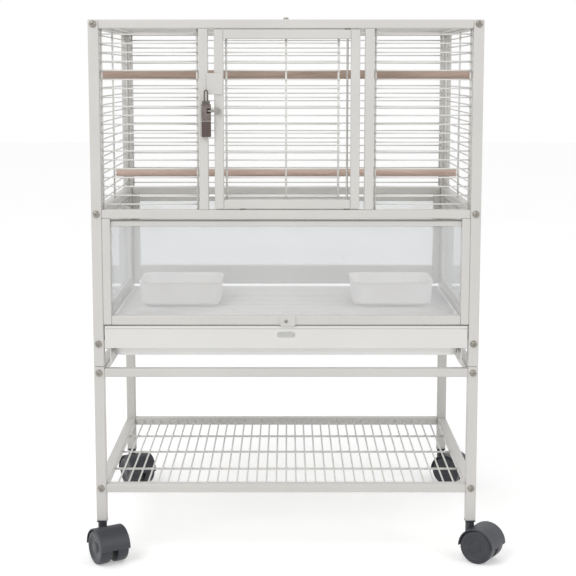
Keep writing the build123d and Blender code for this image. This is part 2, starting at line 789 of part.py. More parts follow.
# Twin-wheel casters, drawn with the stem on the origin and trailing along +X
wheel_radius = wheel_size / 2
wheel_inner = wheel_spacing / 2
wheel_outer = wheel_inner + wheel_width
hood_bore = wheel_radius + hood_clearance
hood_radius = hood_bore + hood_wall
hood_half_width = wheel_outer + hood_end_reach
hood_top = leg_end_height - collar_gap
axle_bore = axle_size + 2 * axle_running_clearance
axle_place = Pos(caster_trail, 0, wheel_radius)
stem_low = wheel_radius + stem_floor
stem_low += math.sqrt(hood_bore**2 - (caster_trail - stem_size / 2) ** 2)


def turned(size, low, high, sides=wheel_flats):
    # Along Y, with two flats facing up and down.
    section = flats(size, sides).rotate(Axis.Z, 180 / sides)
    return Pos(0, high, 0) * extrude(Plane.XZ * section, amount=high - low)


hood = axle_place * turned(2 * hood_radius, -hood_half_width, hood_half_width)
hood -= axle_place * Pos(0, 0, -hood_radius) * Box(
    4 * hood_radius, 4 * hood_radius, 2 * hood_radius
)
hood += peg(collar_size, wheel_radius, hood_top)
wheel_space = axle_place * turned(2 * hood_bore, hood_web / 2, 2 * hood_half_width)
hood -= wheel_space
hood -= mirror(wheel_space, Plane.XZ)
hood += axle_place * along_y * peg(2 * hood_web_reach, -hood_web / 2, hood_web / 2)
hood -= axle_place * along_y * bore(axle_bore, -hood_web, hood_web)
hood -= bore(stem_size + 2 * stem_running_clearance, stem_low, hood_top)

stem = peg(stem_size, stem_low, stem_top)
axle = axle_place * along_y * peg(axle_size, -axle_reach, axle_reach)

wheel = turned(wheel_size, wheel_inner, wheel_outer)
wheel = chamfer(wheel.faces().filter_by(Axis.Y).edges(), wheel_edge)
wheel = axle_place * (wheel - along_y * bore(axle_bore, 0, axle_reach + axle_end_gap))
other_wheel = mirror(wheel, Plane.XZ)
headings = [front_left_heading, front_right_heading, rear_left_heading, rear_right_heading]
for name, heading, (x, y) in zip(corner_names, headings, corners):
    caster_place = Pos(x, y, 0) * Rot(0, 0, heading)
    save(f"{name}_caster_hood", caster_place * hood)
    save(f"{name}_caster_pins", placed(caster_place, [stem, axle]))
    save(f"{name}_wheel_a", caster_place * wheel)
    save(f"{name}_wheel_b", caster_place * other_wheel)
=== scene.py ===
import math

import bmesh
import bpy
from mathutils import Matrix, Vector


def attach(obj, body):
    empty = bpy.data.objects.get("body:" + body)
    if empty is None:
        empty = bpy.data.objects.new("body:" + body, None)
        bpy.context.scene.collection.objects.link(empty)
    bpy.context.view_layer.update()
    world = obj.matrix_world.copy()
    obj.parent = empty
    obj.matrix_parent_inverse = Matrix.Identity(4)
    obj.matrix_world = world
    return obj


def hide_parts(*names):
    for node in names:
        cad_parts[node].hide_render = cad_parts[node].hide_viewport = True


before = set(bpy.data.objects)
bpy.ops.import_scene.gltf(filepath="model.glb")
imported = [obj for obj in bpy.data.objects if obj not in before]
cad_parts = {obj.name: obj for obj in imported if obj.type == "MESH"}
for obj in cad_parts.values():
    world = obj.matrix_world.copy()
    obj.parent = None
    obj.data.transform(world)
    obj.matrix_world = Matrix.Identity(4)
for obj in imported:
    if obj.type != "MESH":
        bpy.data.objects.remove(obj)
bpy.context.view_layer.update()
scene = bpy.context.scene

# Camera: a little over two metres in front of the door and level with its upper
# half, tipped down until the casters come in.
camera = bpy.data.objects.new("camera", bpy.data.cameras.new("camera"))
camera.data.sensor_width = 36
camera.data.lens = 85.83
camera.data.shift_y = -0.057
camera.location = (0.00274, -2.1638, 0.7167)
camera.rotation_euler = (math.radians(90 - 7.6), 0, 0)
scene.collection.objects.link(camera)
scene.camera = camera


# Corner posts: four square steel tubes with drawn round corners, powder coated a
# warm off-white. The rails butt against them and bolts go through, front and rear.
post_x, post_y, half_post = 272.5, 195.5, 7.5
outer_x, front_y, rear_y = post_x + half_post, -post_y - half_post, post_y + half_post
joint_z, top_z = 291, 790
corner_names = ["front_left", "front_right", "rear_left", "rear_right"]
corners = [(-post_x, -post_y), (post_x, -post_y), (-post_x, post_y), (post_x, post_y)]


def colour(red, green, blue):
    """A colour chip's eight-bit values as the linear ones a shader takes."""
    chip = [value / 255 for value in (red, green, blue)]
    return (*[c / 12.92 if c < 0.04 else ((c + 0.055) / 1.055) ** 2.4 for c in chip], 1)


def step(tree, kind, sockets, **settings):
    """One node, with its sockets set to values or joined to other nodes' outputs."""
    made = tree.nodes.new(kind)
    for setting, value in settings.items():
        setattr(made, setting, value)
    for name, value in sockets.items():
        if isinstance(value, bpy.types.NodeSocket):
            tree.links.new(value, made.inputs[name])
        else:
            made.inputs[name].default_value = value
    return made


def effect(name, takes, gives):
    """An empty effect: a node group with its named inputs and outputs."""
    group = bpy.data.node_groups.new(name, "ShaderNodeTree")
    for label, kind, value in takes:
        socket = group.interface.new_socket(label, in_out="INPUT", socket_type="NodeSocket" + kind)
        socket.default_value = value
    for label, kind in gives:
        group.interface.new_socket(label, in_out="OUTPUT", socket_type="NodeSocket" + kind)
    return group, group.nodes.new("NodeGroupInput"), group.nodes.new("NodeGroupOutput")


# The coat's own skin: orange peel a millimetre or so across, slow drift in tone
# where the powder lay thicker, and duller specks where hands and cloths have been.
coat, taken, given = effect(
    "powder_coat",
    [("Colour", "Color", (0.8, 0.8, 0.8, 1)), ("Peel", "Float", 900.0), ("Drift", "Float", 0.05),
     ("Gloss", "Float", 0.4), ("Depth", "Float", 0.2)],
    [("Colour", "Color"), ("Roughness", "Float"), ("Normal", "Vector")],
)
where = step(coat, "ShaderNodeTexCoord", {}).outputs["Object"]
peel = step(coat, "ShaderNodeTexNoise", {"Vector": where, "Scale": taken.outputs["Peel"], "Detail": 2.0})
drift = step(coat, "ShaderNodeTexNoise", {"Vector": where, "Scale": 9.0, "Detail": 4.0, "Roughness": 0.6})
fine = step(coat, "ShaderNodeTexNoise", {"Vector": where, "Scale": 240.0, "Detail": 2.0})
spread = step(coat, "ShaderNodeMath", {0: drift.outputs["Fac"], 1: 0.5}, operation="SUBTRACT")
spread = step(
    coat, "ShaderNodeMath", {0: spread.outputs[0], 1: taken.outputs["Drift"]}, operation="MULTIPLY"
)
level = step(coat, "ShaderNodeMath", {0: spread.outputs[0], 1: 2.0, 2: 1.0}, operation="MULTIPLY_ADD")
toned = step(coat, "ShaderNodeHueSaturation", {"Value": level.outputs[0], "Color": taken.outputs["Colour"]})
haze = step(coat, "ShaderNodeMath", {0: fine.outputs["Fac"], 1: drift.outputs["Fac"]}, operation="MULTIPLY")
rough = step(
    coat, "ShaderNodeMath", {0: haze.outputs[0], 1: 0.35, 2: taken.outputs["Gloss"]},
    operation="MULTIPLY_ADD",
)
skin = step(
    coat, "ShaderNodeBump",
    {"Strength": taken.outputs["Depth"], "Distance": 0.0004, "Height": peel.outputs["Fac"]},
)
coat.links.new(toned.outputs["Color"], given.inputs["Colour"])
coat.links.new(rough.outputs[0], given.inputs["Roughness"])
coat.links.new(skin.outputs["Normal"], given.inputs["Normal"])


def finish(name, skin_of, values, **shader):
    """A material: an effect's colour, roughness and normal on one Principled shader."""
    made = bpy.data.materials.new(name)
    made.use_nodes = True
    tree = made.node_tree
    shell = tree.nodes["Principled BSDF"]
    group = tree.nodes.new("ShaderNodeGroup")
    group.node_tree = skin_of
    for label, value in values.items():
        group.inputs[label].default_value = value
    tree.links.new(group.outputs["Colour"], shell.inputs["Base Color"])
    tree.links.new(group.outputs["Roughness"], shell.inputs["Roughness"])
    tree.links.new(group.outputs["Normal"], shell.inputs["Normal"])
    for label, value in shader.items():
        shell.inputs[label.replace("_", " ")].default_value = value
    return made


frame_coat = finish(
    "frame_powder_coat", coat,
    {"Colour": colour(207, 205, 201), "Peel": 900.0, "Drift": 0.07, "Gloss": 0.3, "Depth": 0.25},
)


def tube(mesh, x, y, z, edge=1.5):
    """A square tube or plate between limits in millimetres, its edges rounded."""
    cube = bmesh.ops.create_cube(mesh, size=1)["verts"]
    bmesh.ops.scale(mesh, vec=[high - low for low, high in (x, y, z)], verts=cube)
    bmesh.ops.translate(mesh, vec=[(high + low) / 2 for low, high in (x, y, z)], verts=cube)
    edges = list({line for corner in cube for line in corner.link_edges})
    turned = bmesh.ops.bevel(
        mesh, geom=edges, offset=edge, offset_type="OFFSET", segments=3, profile=0.5,
        affect="EDGES", material=-1, clamp_overlap=True,
    )
    for face in turned["faces"]:
        face.smooth = True


def piece(name, mesh, material, body, paint, *nodes):
    """Puts a finished mesh, drawn in millimetres, on its body in metres."""
    bmesh.ops.scale(mesh, vec=(0.001, 0.001, 0.001), verts=mesh.verts)
    data = bpy.data.meshes.new(name)
    mesh.to_mesh(data)
    mesh.free()
    data.materials.append(material)
    made = bpy.data.objects.new(name, data)
    scene.collection.objects.link(made)
    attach(made, body)
    if nodes:
        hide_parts(*nodes)
    return made


for name, (x, y) in zip(corner_names, corners):
    post = bmesh.new()
    tube(post, (x - half_post, x + half_post), (y - half_post, y + half_post), (joint_z, top_z))
    piece(f"post_{name}", post, frame_coat, "frame", "frame_paint", f"corner_post_{name}")


# Stand legs: the same tube, swaged to enter the posts, with a moulded socket pressed
# into each foot for the caster's stem.
foot_z, joint_gap = 58.5, 0.4
legs = bmesh.new()
for x, y in corners:
    across_x, across_y = (x - half_post, x + half_post), (y - half_post, y + half_post)
    tube(legs, across_x, across_y, (foot_z, joint_z - joint_gap))
piece("stand_leg_tubes", legs, frame_coat, "frame", "frame_paint", "stand_legs")


# Rails: rings of tube between the posts, at the roof, above the clear panels, beside
# the tray, at the top of the stand and round the shelf.
bay_x, bay_y, rail_height = 265, 188, 12.5
roof_z, waist_z, tray_side_z, stand_top_z, shelf_z = top_z - rail_height, 508, 318.5, 275.5, 102
rail_centres = [z + rail_height / 2 for z in (roof_z, waist_z, tray_side_z, stand_top_z, shelf_z)]
wall_z = (waist_z + rail_height, roof_z)


def rail_ring(mesh, z, front):
    """Front, rear and side rails whose undersides lie at z."""
    height = (z, z + rail_height)
    if front:
        tube(mesh, (-bay_x, bay_x), (front_y, -bay_y), height)
    tube(mesh, (-bay_x, bay_x), (bay_y, rear_y), height)
    tube(mesh, (-outer_x, -bay_x), (-bay_y, bay_y), height)
    tube(mesh, (bay_x, outer_x), (-bay_y, bay_y), height)


for name, node, z, front in [
    ("roof_rails", "roof_frame", roof_z, True),
    ("waist_rails", "middle_rails", waist_z, True),
    ("tray_side_rails", "bottom_rails", tray_side_z, False),
    ("stand_top_rails", "stand_rails", stand_top_z, True),
    ("shelf_rails", "shelf_frame", shelf_z, True),
]:
    ring = bmesh.new()
    rail_ring(ring, z, front)
    piece(name, ring, frame_coat, "frame", "frame_paint", node)

door_post_left, door_post_right = (-124, -111), (112, 125)
posts = bmesh.new()
for across in (door_post_left, door_post_right):
    tube(posts, across, (front_y, -bay_y), wall_z)
piece("door_side_posts", posts, frame_coat, "frame", "frame_paint", "door_posts")


# Wire walls and roof: close steel lines spot welded to a few thicker stays, then
# coated with the frame, so that each crossing keeps a small rounded nugget.
wire_spacing, stay_inset = 12.7, 2.5
wire_coat = finish(
    "wire_powder_coat", coat,
    {"Colour": colour(222, 221, 217), "Peel": 1500.0, "Drift": 0.1, "Gloss": 0.28, "Depth": 0.2},
)


def wire(mesh, start, end, size, sides=10):
    """A straight round wire from point to point."""
    start, end = Vector(start), Vector(end)
    along = end - start
    place = Matrix.Translation((start + end) / 2) @ along.to_track_quat("Z", "Y").to_matrix().to_4x4()
    made = bmesh.ops.create_cone(
        mesh, cap_ends=True, segments=sides, radius1=size / 2, radius2=size / 2,
        depth=along.length, matrix=place,
    )
    for face in {face for corner in made["verts"] for face in corner.link_faces}:
        face.smooth = len(face.verts) == 4


def weld(mesh, place, size):
    """The nugget a spot weld leaves, a flattened bead of a few faces."""
    made = bmesh.ops.create_icosphere(
        mesh, subdivisions=1, radius=size, matrix=Matrix.Translation(place)
    )
    for face in {face for corner in made["verts"] for face in corner.link_faces}:
        face.smooth = True


def wire_mat(mesh, place, lines, line_ends, stays, stay_ends, line_size=2.0, stay_size=3.0):
    """Lines in front of stays; place turns along, level and depth into a point."""
    for level in lines:
        ends = [place(end, level, -line_size / 2) for end in line_ends]
        wire(mesh, *ends, line_size)
        for end in ends:
            weld(mesh, end, line_size * 0.75)
        for stay in stays:
            weld(mesh, place(stay, level, 0), line_size * 0.72)
    for stay in stays:
        wire(mesh, *[place(stay, end, stay_size / 2) for end in stay_ends], stay_size)


def spaced(count, spacing):
    """Evenly spaced places about the middle."""
    return [(i - (count - 1) / 2) * spacing for i in range(count)]


def between(low, high, *middle):
    """Places for stays: just inside both ends, with any middle ones."""
    return (low + stay_inset, *middle, high - stay_inset)


levels = [wall_z[0] + 7.85 + wire_spacing * i for i in range(20)]
left_part, right_part = (-bay_x, door_post_left[0]), (door_post_right[1], bay_x)
wide, deep = (-bay_x, bay_x), (-bay_y, bay_y)
walls = {
    "front_left_wires": (
        lambda u, v, w: (u, -post_y + w, v), levels, left_part, between(*left_part), wall_z
    ),
    "front_right_wires": (
        lambda u, v, w: (u, -post_y + w, v), levels, right_part, between(*right_part), wall_z
    ),
    "rear_wires": (lambda u, v, w: (u, post_y - w, v), levels, wide, between(*wide), wall_z),
    "left_side_wires": (
        lambda u, v, w: (-post_x + w, u, v), levels, deep, between(-bay_y, bay_y, 0), wall_z
    ),
    "right_side_wires": (
        lambda u, v, w: (post_x - w, u, v), levels, deep, between(-bay_y, bay_y, 0), wall_z
    ),
    "roof_wires": (
        lambda u, v, w: (u, v, roof_z + rail_height / 2 - w), spaced(29, wire_spacing),
        wide, between(-bay_x, bay_x, 0), deep,
    ),
}
for node, (place, lines, line_ends, stays, stay_ends) in walls.items():
    wall = bmesh.new()
    wire_mat(wall, place, lines, line_ends, stays, stay_ends)
    piece(node.replace("wires", "wire_mat"), wall, wire_coat, "frame", "frame_paint", node)


# Shelf: stiff cross wires from front to rear over three long stays, welded into the
# ring of rails between the legs.
shelf = bmesh.new()
wire_mat(
    shelf, lambda u, v, w: (v, u, shelf_z + rail_height / 2 - w), spaced(35, 14.7), deep,
    (-95.5, 0, 95.5), wide, line_size=2.6, stay_size=3.4,
)
piece("shelf_wire_mat", shelf, wire_coat, "frame", "frame_paint", "shelf_wires")


# Door: a welded frame of tube that turns on a rod near its right stile, filled with
# the same wires. A folded tab on its left stile laps the post and stops it.
stile_left, stile_right, door_z, door_bar = (-102, -89), (92, 105), (522, 776), 13
tab_x, tab_y, tab_z = (-112.5, -89.9), (-204.8, -203.2), (685, 715)
door = bmesh.new()
tube(door, stile_left, (front_y, -bay_y), door_z)
tube(door, stile_right, (front_y, -bay_y), door_z)
for z in (door_z[0], door_z[1] - door_bar):
    tube(door, (stile_left[1], stile_right[0]), (front_y, -bay_y), (z, z + door_bar))
tube(door, tab_x, tab_y, tab_z, edge=0.6)
piece("door_tubes", door, frame_coat, "door", "frame_paint", "door_frame")

door_mat = bmesh.new()
wire_mat(
    door_mat, lambda u, v, w: (u, -post_y + w, v), levels[1:-1], (-86.5, 76.1), (-85, 0, 74.6),
    (door_z[0] + door_bar, door_z[1] - door_bar),
)
piece("door_wire_mat", door_mat, wire_coat, "door", "frame_paint", "door_wires")

metal, taken, given = effect(
    "worked_metal",
    [("Colour", "Color", (0.5, 0.5, 0.5, 1)), ("Grain", "Float", 600.0), ("Wear", "Float", 0.2),
     ("Polish", "Float", 0.3)],
    [("Colour", "Color"), ("Roughness", "Float"), ("Normal", "Vector")],
)
where = step(metal, "ShaderNodeTexCoord", {}).outputs["Object"]
grain = step(metal, "ShaderNodeTexNoise", {"Vector": where, "Scale": taken.outputs["Grain"], "Detail": 3.0})
cloud = step(metal, "ShaderNodeTexNoise", {"Vector": where, "Scale": 120.0, "Detail": 3.0})
worn = step(metal, "ShaderNodeMath", {0: cloud.outputs["Fac"], 1: 0.5}, operation="SUBTRACT")
worn = step(metal, "ShaderNodeMath", {0: worn.outputs[0], 1: taken.outputs["Wear"]}, operation="MULTIPLY")
level = step(metal, "ShaderNodeMath", {0: worn.outputs[0], 1: 2.0, 2: 1.0}, operation="MULTIPLY_ADD")
toned = step(
    metal, "ShaderNodeHueSaturation", {"Value": level.outputs[0], "Color": taken.outputs["Colour"]}
)
rough = step(
    metal, "ShaderNodeMath", {0: grain.outputs["Fac"], 1: 0.25, 2: taken.outputs["Polish"]},
    operation="MULTIPLY_ADD",
)
skin = step(metal, "ShaderNodeBump", {"Strength": 0.25, "Distance": 0.0002, "Height": grain.outputs["Fac"]})
metal.links.new(toned.outputs["Color"], given.inputs["Colour"])
metal.links.new(rough.outputs[0], given.inputs["Roughness"])
metal.links.new(skin.outputs["Normal"], given.inputs["Normal"])

plain_steel = finish(
    "plain_steel", metal,
    {"Colour": colour(190, 189, 186), "Grain": 700.0, "Wear": 0.3, "Polish": 0.18}, Metallic=1.0,
)


def lathe(mesh, outline, place, sides=24, turn=360):
    """A turned piece: pairs of radius and height spun about Z, then put in place."""
    old = set(mesh.verts)
    points = [mesh.verts.new((radius, 0, height)) for radius, height in outline]
    lines = [mesh.edges.new(pair) for pair in zip(points, points[1:])]
    bmesh.ops.spin(
        mesh, geom=points + lines, cent=(0, 0, 0), axis=(0, 0, 1), angle=math.radians(turn),
        steps=sides, use_merge=turn == 360,
    )
    bmesh.ops.remove_doubles(mesh, verts=[v for v in mesh.verts if v not in old], dist=0.001)
    made = [v for v in mesh.verts if v not in old]
    faces = list({face for v in made for face in v.link_faces})
    bmesh.ops.recalc_face_normals(mesh, faces=faces)
    bmesh.ops.transform(mesh, matrix=place, verts=made)
    for face in faces:
        face.smooth = True
    for line in {line for face in faces for line in face.edges}:
        if len(line.link_faces) == 2 and line.calc_face_angle() > math.radians(40):
            line.smooth = False
    return made


hinge_axis = Matrix.Translation((87.2, -post_y, 0))
rod_low, rod_high, rod_edge = 517.6, 780.5, 0.3
rod = bmesh.new()
lathe(
    rod,
    [(0, rod_low), (1.2, rod_low), (1.5, rod_low + rod_edge),
     (1.5, rod_high - rod_edge), (1.2, rod_high), (0, rod_high)],
    hinge_axis, sides=16,
)
piece("hinge_rod", rod, plain_steel, "frame", "plain_steel", "door_hinge_rod")


# Door latch: a dark die-cast body on the left post, with a gate strip that drops in
# front of the door's pin, and a bent wire loop to lift it by.
latch_metal = finish(
    "latch_metal", metal,
    {"Colour": colour(104, 98, 92), "Grain": 500.0, "Wear": 0.6, "Polish": 0.32}, Metallic=0.6,
)


def refinish(node, material):
    """Gives a solid kept from the frame its own finish."""
    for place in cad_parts[node].material_slots:
        place.material = material


# The casting is darker below, with a painted highlight, a bright band, along the lip where its two halves
# meet.
highlight_low, highlight_high = 0.6469, 0.6486
latch_casting = finish(
    "latch_casting", metal,
    {"Colour": colour(114, 103, 99), "Grain": 500.0, "Wear": 0.9, "Polish": 0.35}, Metallic=0.3,
)
tree = latch_casting.node_tree
shell = tree.nodes["Principled BSDF"]
tone = shell.inputs["Base Color"].links[0].from_socket
where = step(tree, "ShaderNodeTexCoord", {}).outputs["Object"]
height = step(tree, "ShaderNodeSeparateXYZ", {"Vector": where}).outputs["Z"]
# The bright colour is the painted highlight on the lip; the dark one colours the casting below it.
for top, chip in ((highlight_high, colour(186, 182, 176)), (highlight_low, colour(88, 75, 71))):
    below = step(tree, "ShaderNodeMath", {0: height, 1: top}, operation="LESS_THAN").outputs[0]
    tone = step(tree, "ShaderNodeMix", {0: below, 6: tone, 7: chip}, data_type="RGBA").outputs[2]
tree.links.new(tone, shell.inputs["Base Color"])
refinish("latch_body", latch_casting)

pin_zinc = finish(
    "pin_zinc", metal,
    {"Colour": colour(158, 155, 150), "Grain": 900.0, "Wear": 0.5, "Polish": 0.2}, Metallic=0.8,
)
refinish("door_latch_pin", pin_zinc)

loop_x, loop_y, loop_low, loop_high, loop_bend = -113.2, -211, 676.1, 688.6, 2.25
gate = bmesh.new()
tube(gate, (-118.7, -107.7), (-212, -210), (665.9, 675.9), edge=0.35)
for x in (loop_x - loop_bend, loop_x + loop_bend):
    wire(gate, (x, loop_y, loop_low), (x, loop_y, loop_high), 2, sides=12)
section = [(loop_bend + math.cos(a), math.sin(a)) for a in [math.radians(30 * i) for i in range(13)]]
onto_face = Matrix.Rotation(math.radians(-90), 4, "X") @ Matrix.Rotation(math.radians(180), 4, "Z")
for z, turned in ((loop_high, 0), (loop_low, 180)):
    place = Matrix.Translation((loop_x, loop_y, z)) @ Matrix.Rotation(math.radians(turned), 4, "Y")
    lathe(gate, section, place @ onto_face, sides=10, turn=180)
piece("latch_gate_strip", gate, latch_metal, "latch_gate", "latch_metal", "latch_gate")


# Frames of the clear panels: two stiles and a bottom rail each, grooved for a sheet
# that slides in from above; the side frames carry the floor grille on an angle.
panel_low, stile, low_rail, tall_rail, side_inset = 353, 12, 13.5, 32, 1.5
panel_inner, panel_outer = bay_x + side_inset, outer_x - side_inset


def panel_frame(mesh, place, half, bottom_rail):
    """Stiles and bottom rail; place turns along and level limits into a tube."""
    place(mesh, (-half, -half + stile), (panel_low, waist_z))
    place(mesh, (half - stile, half), (panel_low, waist_z))
    place(mesh, (-half + stile, half - stile), (panel_low, panel_low + bottom_rail))


panel_walls = {
    "front": (lambda m, u, v: tube(m, u, (front_y, -bay_y), v), bay_x, low_rail),
    "rear": (lambda m, u, v: tube(m, u, (bay_y + side_inset, rear_y - side_inset), v), bay_x, tall_rail),
    "left": (lambda m, u, v: tube(m, (-panel_outer, -panel_inner), u, v), bay_y, low_rail),
    "right": (lambda m, u, v: tube(m, (panel_inner, panel_outer), u, v), bay_y, low_rail),
}
angle_z = 344.8
for side, (place, half, bottom_rail) in panel_walls.items():
    surround = bmesh.new()
    panel_frame(surround, place, half, bottom_rail)
    if side in ("left", "right"):
        facing = -1 if side == "left" else 1
        for limits, height in (
            ((panel_inner - 12, panel_inner), (angle_z, angle_z + 1.2)),
            ((panel_inner - 1.2, panel_inner), (angle_z, angle_z + 12)),
        ):
            tube(surround, sorted(facing * limit for limit in limits), deep, height, edge=0.4)
    piece(f"{side}_panel_surround", surround, frame_coat, "frame", "frame_paint", f"lower_frame_{side}")


# Clear sheets: cast acrylic three millimetres thick, slid down the grooves, with a
# folded channel over each top edge.
clear, taken, given = effect(
    "clear_sheet",
    [("Tint", "Color", (0.97, 0.98, 0.98, 1))],
    [("Colour", "Color"), ("Roughness", "Float"), ("Normal", "Vector")],
)
where = step(clear, "ShaderNodeTexCoord", {}).outputs["Object"]
swell = step(clear, "ShaderNodeTexNoise", {"Vector": where, "Scale": 7.0, "Detail": 1.0})
smear = step(
    clear, "ShaderNodeTexNoise", {"Vector": where, "Scale": 28.0, "Detail": 6.0, "Roughness": 0.65}
)
film = step(
    clear, "ShaderNodeMapRange",
    {"Value": smear.outputs["Fac"], "From Min": 0.45, "From Max": 0.8, "To Min": 0.012, "To Max": 0.07},
)
skin = step(clear, "ShaderNodeBump", {"Strength": 0.05, "Distance": 0.002, "Height": swell.outputs["Fac"]})
dulled = step(
    clear, "ShaderNodeMapRange",
    {"Value": smear.outputs["Fac"], "From Min": 0.4, "From Max": 0.8, "To Min": 1.0, "To Max": 0.985},
)
toned = step(
    clear, "ShaderNodeHueSaturation", {"Value": dulled.outputs["Result"], "Color": taken.outputs["Tint"]}
)
clear.links.new(toned.outputs["Color"], given.inputs["Colour"])
clear.links.new(film.outputs["Result"], given.inputs["Roughness"])
clear.links.new(skin.outputs["Normal"], given.inputs["Normal"])
clear_acrylic = finish(
    "clear_acrylic", clear, {"Tint": colour(243, 244, 245)}, Transmission_Weight=0.82, IOR=1.49
)
# Light falls through the sheets, so that they throw no shadow on the tray.
tree = clear_acrylic.node_tree
glass = tree.nodes["Principled BSDF"].outputs[0]
lit_through = step(tree, "ShaderNodeBsdfTransparent", {"Color": (1, 1, 1, 1)}).outputs[0]
shadow_ray = step(tree, "ShaderNodeLightPath", {}).outputs["Is Shadow Ray"]
passed = step(tree, "ShaderNodeMixShader", {0: shadow_ray, 1: glass, 2: lit_through})
tree.links.new(passed.outputs[0], tree.nodes["Material Output"].inputs["Surface"])
for side in ("front", "rear", "left", "right"):
    refinish(f"{side}_acrylic_sheet", clear_acrylic)

half_channel, channel_z = 3, (496.4, 503.7)
sheet_wide, sheet_deep = (-bay_x + stile, bay_x - stile), (-bay_y + stile, bay_y - stile)
trims = bmesh.new()
for y in (-post_y, post_y):
    tube(trims, sheet_wide, (y - half_channel, y + half_channel), channel_z, edge=0.7)
for x in (-post_x, post_x):
    tube(trims, (x - half_channel, x + half_channel), sheet_deep, channel_z, edge=0.7)
piece("sheet_top_channels", trims, frame_coat, "frame", "frame_paint", "sheet_edge_trims")

# A dark strip of painted shade fills the gap above the front sheet's channel, where the slot lies in shade.
gap_shade_coat = finish(
    "gap_shade_coat", coat,
    {"Colour": colour(150, 147, 141), "Peel": 1200.0, "Drift": 0.15, "Gloss": 0.7, "Depth": 0.6},
)
# The strip's dark grey colour is painted shade.
gap_shade_strip = bmesh.new()
tube(gap_shade_strip, sheet_wide, (-198, -194), (503.6, 506), edge=0.4)
piece("front_sheet_gap_shade", gap_shade_strip, gap_shade_coat, "frame", "frame_paint")


# Floor grille: a rim of thick wire resting on the side angles, close cross wires and
# two stays beneath, above the tray.
rim_x, rim_y, rim_z, rim_size = 262, 184, 348, 4
grille = bmesh.new()
for x in (-rim_x, rim_x):
    wire(grille, (x, -rim_y, rim_z), (x, rim_y, rim_z), rim_size, sides=14)
for y in (-rim_y, rim_y):
    wire(grille, (-rim_x, y, rim_z), (rim_x, y, rim_z), rim_size, sides=14)
    for x in (-rim_x, rim_x):
        weld(grille, (x, y, rim_z), 2.1)
wire_mat(
    grille, lambda u, v, w: (u, v, rim_z - 1.2 - w), spaced(28, wire_spacing), (2 - rim_x, rim_x - 2),
    (-90, 90), (2 - rim_y, rim_y - 2), line_size=2.4, stay_size=3.0,
)
grille_coat = finish(
    "grille_powder_coat", coat,
    {"Colour": colour(238, 237, 234), "Peel": 1500.0, "Drift": 0.08, "Gloss": 0.26, "Depth": 0.2},
)
piece("floor_grille_mat", grille, grille_coat, "frame", "frame_paint", "floor_grille")


# Tray: a folded sheet pan on two runners, with a plain front plate that has a finger
# slot and a lip folded back along its top.
tray_coat = finish(
    "tray_powder_coat", coat,
    {"Colour": colour(221, 220, 217), "Peel": 800.0, "Drift": 0.05, "Gloss": 0.28, "Depth": 0.2},
)
pan_coat = finish(
    "pan_powder_coat", coat,
    {"Colour": colour(238, 238, 236), "Peel": 800.0, "Drift": 0.06, "Gloss": 0.3, "Depth": 0.2},
)
refinish("tray_runners", frame_coat)

pan_wide, pan_deep, pan_middle, pan_z, ledge = 504, 363.4, -8, 305.8, 10.3
pan = bmesh.new()
floor_plate = bmesh.ops.create_grid(pan, x_segments=1, y_segments=1, size=0.5)["verts"]
bmesh.ops.scale(pan, vec=(pan_wide, pan_deep, 1), verts=floor_plate)
bmesh.ops.translate(pan, vec=(0, pan_middle, pan_z), verts=floor_plate)
bmesh.ops.bevel(
    pan, geom=floor_plate, offset=14, offset_type="OFFSET", segments=6, profile=0.5,
    affect="VERTICES", material=-1,
)
rim = list(pan.edges)
for grow, rise in ((0, 11), (ledge, 2), (0, 24.2)):
    folded = bmesh.ops.extrude_edge_only(pan, edges=rim)["geom"]
    corners_up = [v for v in folded if isinstance(v, bmesh.types.BMVert)]
    rim = [line for line in folded if isinstance(line, bmesh.types.BMEdge)]
    for corner in corners_up:
        corner.co.x += math.copysign(grow, corner.co.x)
        corner.co.y += math.copysign(grow, corner.co.y - pan_middle)
        corner.co.z += rise

# A finger notch is cut in the pan's front wall behind the slot.
half_notch, notch_z, front_wall_y = 16, 331.5, -199
for cut, across in (
    ((-half_notch, 0, 0), (1, 0, 0)), ((half_notch, 0, 0), (1, 0, 0)), ((0, 0, notch_z), (0, 0, 1))
):
    everything = list(pan.verts) + list(pan.edges) + list(pan.faces)
    bmesh.ops.bisect_plane(pan, geom=everything, plane_co=cut, plane_no=across)
middles = [(face, face.calc_center_median()) for face in pan.faces]
notch = [face for face, at in middles if at.y < front_wall_y and abs(at.x) < half_notch and at.z > notch_z]
bmesh.ops.delete(pan, geom=notch, context="FACES")
bmesh.ops.recalc_face_normals(pan, faces=list(pan.faces))
tray_pan = piece("tray_sheet_pan", pan, pan_coat, "tray", "tray_paint", "tray_pan")
wall = tray_pan.modifiers.new("sheet", "SOLIDIFY")
wall.thickness = 0.002
wall.offset = -1
rounding = tray_pan.modifiers.new("folds", "BEVEL")
rounding.width = 0.0008
rounding.segments = 2
rounding.limit_method = "ANGLE"

front_wide, front_tall, front_middle, front_sheet = 527, 29.2, 333.1, 1.5
slot_radius, slot_reach, slot_z = 4.5, 9, 338.5
plate = bmesh.new()
outer = bmesh.ops.create_grid(plate, x_segments=1, y_segments=1, size=0.5)["verts"]
bmesh.ops.scale(plate, vec=(front_wide, front_tall, 1), verts=outer)
bmesh.ops.translate(plate, vec=(0, front_middle, 0), verts=outer)
bmesh.ops.delete(plate, geom=list(plate.faces), context="FACES_ONLY")
slot = bmesh.ops.create_circle(plate, segments=28, radius=slot_radius)["verts"]
for corner in slot:
    corner.co.x += math.copysign(slot_reach, corner.co.x) if abs(corner.co.x) > 0.01 else 0
    corner.co.y += slot_z
bmesh.ops.triangle_fill(plate, use_beauty=True, use_dissolve=True, edges=list(plate.edges))
bmesh.ops.transform(plate, matrix=Matrix.Rotation(math.radians(90), 4, "X"), verts=plate.verts)
bmesh.ops.translate(plate, vec=(0, front_y + front_sheet, 0), verts=plate.verts)
